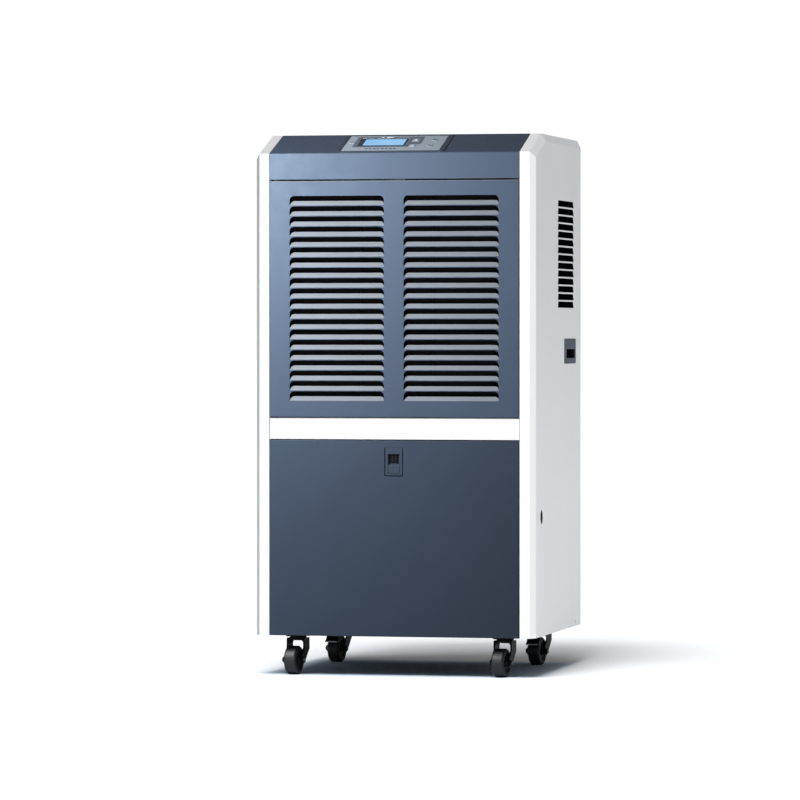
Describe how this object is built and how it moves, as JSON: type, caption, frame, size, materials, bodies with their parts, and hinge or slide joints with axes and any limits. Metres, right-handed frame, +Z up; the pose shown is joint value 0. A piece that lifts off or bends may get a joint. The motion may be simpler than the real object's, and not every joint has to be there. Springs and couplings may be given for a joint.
{
  "type": "commercial dehumidifier",
  "caption": "Upright refrigerant dehumidifier on casters: white side shells, louvred slate front, sloped control fascia, pull-out tank drawer and side drain outlet.",
  "frame": {"origin": "on the floor under the centre of the cabinet's width and depth", "axes": "+Z up, -Y towards the front (grille side), +X to the right of someone facing the front"},
  "size_m": [0.5, 0.45, 0.95],
  "materials": {
    "white_paint": "smooth white powder coat",
    "slate_paint": "satin blue-grey powder coat",
    "galvanised": "galvanised sheet steel",
    "black_plastic": "fine-grained moulded plastic",
    "grey_plastic": "printed satin overlay",
    "key_plastic": "satin key caps",
    "display": "back-lit display window",
    "board": "coated circuit board",
    "tank_plastic": "translucent moulded plastic",
    "float_foam": "closed-cell foam float",
    "fin_aluminium": "thin rolled fins",
    "copper": "drawn copper tube",
    "black_paint": "black stove enamel",
    "rubber": "matt black rubber",
    "caster_tyre": "dark grey caster tread",
    "pedal_plastic": "moulded black plastic",
    "filter_fabric": "woven nylon filter mesh"
  },
  "bodies": {
    "cabinet": {"base_pan": "galvanised", "cabinet_frame": "galvanised", "mid_shelf": "galvanised", "side_panel_left": "white_paint", "side_panel_right": "white_paint", "side_handle_left": "black_plastic", "side_handle_right": "black_plastic", "rear_panel": "slate_paint", "top_cover": "slate_paint", "cross_band": "white_paint", "drawer_rails_fixed": "galvanised", "drip_tray": "tank_plastic", "evaporator_fins": "fin_aluminium", "evaporator_tubes": "copper", "condenser_fins": "fin_aluminium", "condenser_tubes": "copper", "compressor": "black_paint", "compressor_mounts": "rubber", "refrigerant_pipes": "copper", "fan_shroud": "galvanised", "fan_motor": "black_paint", "fan_motor_bracket": "galvanised", "control_bezel": "black_plastic", "control_faceplate": "grey_plastic", "lcd_screen": "display", "control_board": "board", "electric_box": "galvanised", "power_cord": "rubber", "cord_bay": "black_plastic", "drain_hose": "rubber", "caster_plates": "black_paint", "panel_screws": "galvanised"},
    "grille": {"front_grille": "slate_paint", "filter_frame": "black_plastic", "filter_mesh": "filter_fabric"},
    "drawer": {"drawer_front": "slate_paint", "drawer_tray": "galvanised", "latch_housing": "slate_paint", "drawer_rails_inner": "galvanised", "water_tank": "tank_plastic"},
    "rails_mid": {"drawer_rails_mid": "galvanised"},
    "latch": {"latch_slider": "slate_paint"},
    "bail": {"tank_handle": "tank_plastic"},
    "float": {"float_arm": "float_foam"},
    "fan": {"fan_impeller": "black_plastic"},
    "key_power": {"key_power": "key_plastic"},
    "key_mode": {"key_mode": "key_plastic"},
    "key_timer": {"key_timer": "key_plastic"},
    "key_up": {"key_up": "key_plastic"},
    "key_down": {"key_down": "key_plastic"},
    "caster_front_left": {"caster_fork_front_left": "black_paint"},
    "wheel_front_left": {"caster_wheel_front_left": "caster_tyre"},
    "caster_front_right": {"caster_fork_front_right": "black_paint"},
    "wheel_front_right": {"caster_wheel_front_right": "caster_tyre"},
    "caster_rear_left": {"caster_fork_rear_left": "black_paint"},
    "wheel_rear_left": {"caster_wheel_rear_left": "caster_tyre"},
    "brake_rear_left": {"brake_pedal_rear_left": "pedal_plastic"},
    "caster_rear_right": {"caster_fork_rear_right": "black_paint"},
    "wheel_rear_right": {"caster_wheel_rear_right": "caster_tyre"},
    "brake_rear_right": {"brake_pedal_rear_right": "pedal_plastic"}
  },
  "joints": [
    {"name": "grille_pull_off", "type": "slide", "parent": "cabinet", "child": "grille", "axis": [0, -1, 0], "range_m": [0, 0.06]},
    {"name": "drawer_slide", "type": "slide", "parent": "cabinet", "child": "drawer", "axis": [0, -1, 0], "range_m": [0, 0.22]},
    {"name": "rail_mid_slide", "type": "slide", "parent": "cabinet", "child": "rails_mid", "axis": [0, -1, 0], "range_m": [0, 0.11]},
    {"name": "latch_slide", "type": "slide", "parent": "drawer", "child": "latch", "axis": [0, 0, 1], "range_m": [0, 0.008]},
    {"name": "tank_handle_hinge", "type": "hinge", "parent": "drawer", "child": "bail", "pos_m": [0, -0.096, 0.28], "axis": [1, 0, 0], "range_deg": [0, 74]},
    {"name": "float_hinge", "type": "hinge", "parent": "drawer", "child": "float", "pos_m": [0, -0.01, 0.262], "axis": [-1, 0, 0], "range_deg": [0, 14]},
    {"name": "fan_spin", "type": "hinge", "parent": "cabinet", "child": "fan", "pos_m": [0, -0.043, 0.668], "axis": [0, 1, 0], "continuous": true},
    {"name": "key_power_press", "type": "slide", "parent": "cabinet", "child": "key_power", "axis": [0, 0.3304, -0.9439], "range_m": [0, 0.001], "stiffness_N_per_m": 400},
    {"name": "key_mode_press", "type": "slide", "parent": "cabinet", "child": "key_mode", "axis": [0, 0.3304, -0.9439], "range_m": [0, 0.001], "stiffness_N_per_m": 400},
    {"name": "key_timer_press", "type": "slide", "parent": "cabinet", "child": "key_timer", "axis": [0, 0.3304, -0.9439], "range_m": [0, 0.001], "stiffness_N_per_m": 400},
    {"name": "key_up_press", "type": "slide", "parent": "cabinet", "child": "key_up", "axis": [0, 0.3304, -0.9439], "range_m": [0, 0.001], "stiffness_N_per_m": 400},
    {"name": "key_down_press", "type": "slide", "parent": "cabinet", "child": "key_down", "axis": [0, 0.3304, -0.9439], "range_m": [0, 0.001], "stiffness_N_per_m": 400},
    {"name": "swivel_front_left", "type": "hinge", "parent": "cabinet", "child": "caster_front_left", "pos_m": [-0.186, -0.166, 0.066], "axis": [0, 0, 1], "continuous": true},
    {"name": "roll_front_left", "type": "hinge", "parent": "caster_front_left", "child": "wheel_front_left", "pos_m": [-0.1883, -0.18788, 0.025], "axis": [0.9945, -0.1045, 0], "continuous": true},
    {"name": "swivel_front_right", "type": "hinge", "parent": "cabinet", "child": "caster_front_right", "pos_m": [0.186, -0.166, 0.066], "axis": [0, 0, 1], "continuous": true},
    {"name": "roll_front_right", "type": "hinge", "parent": "caster_front_right", "child": "wheel_front_right", "pos_m": [0.1837, -0.18788, 0.025], "axis": [0.9945, -0.1045, 0], "continuous": true},
    {"name": "swivel_rear_left", "type": "hinge", "parent": "cabinet", "child": "caster_rear_left", "pos_m": [-0.186, 0.163, 0.066], "axis": [0, 0, 1], "continuous": true},
    {"name": "roll_rear_left", "type": "hinge", "parent": "caster_rear_left", "child": "wheel_rear_left", "pos_m": [-0.1883, 0.14112, 0.025], "axis": [0.9945, -0.1045, 0], "continuous": true},
    {"name": "brake_rear_left", "type": "hinge", "parent": "caster_rear_left", "child": "brake_rear_left", "pos_m": [-0.1872, 0.15156, 0.056], "axis": [0.9945, -0.1045, 0], "range_deg": [0, 7]},
    {"name": "swivel_rear_right", "type": "hinge", "parent": "cabinet", "child": "caster_rear_right", "pos_m": [0.186, 0.163, 0.066], "axis": [0, 0, 1], "continuous": true},
    {"name": "roll_rear_right", "type": "hinge", "parent": "caster_rear_right", "child": "wheel_rear_right", "pos_m": [0.1837, 0.14112, 0.025], "axis": [0.9945, -0.1045, 0], "continuous": true},
    {"name": "brake_rear_right", "type": "hinge", "parent": "caster_rear_right", "child": "brake_rear_right", "pos_m": [0.1848, 0.15156, 0.056], "axis": [0.9945, -0.1045, 0], "range_deg": [0, 7]}
  ],
  "couplings": [
    {"joint": "rail_mid_slide", "follows": "drawer_slide", "ratio": 0.5}
  ]
}
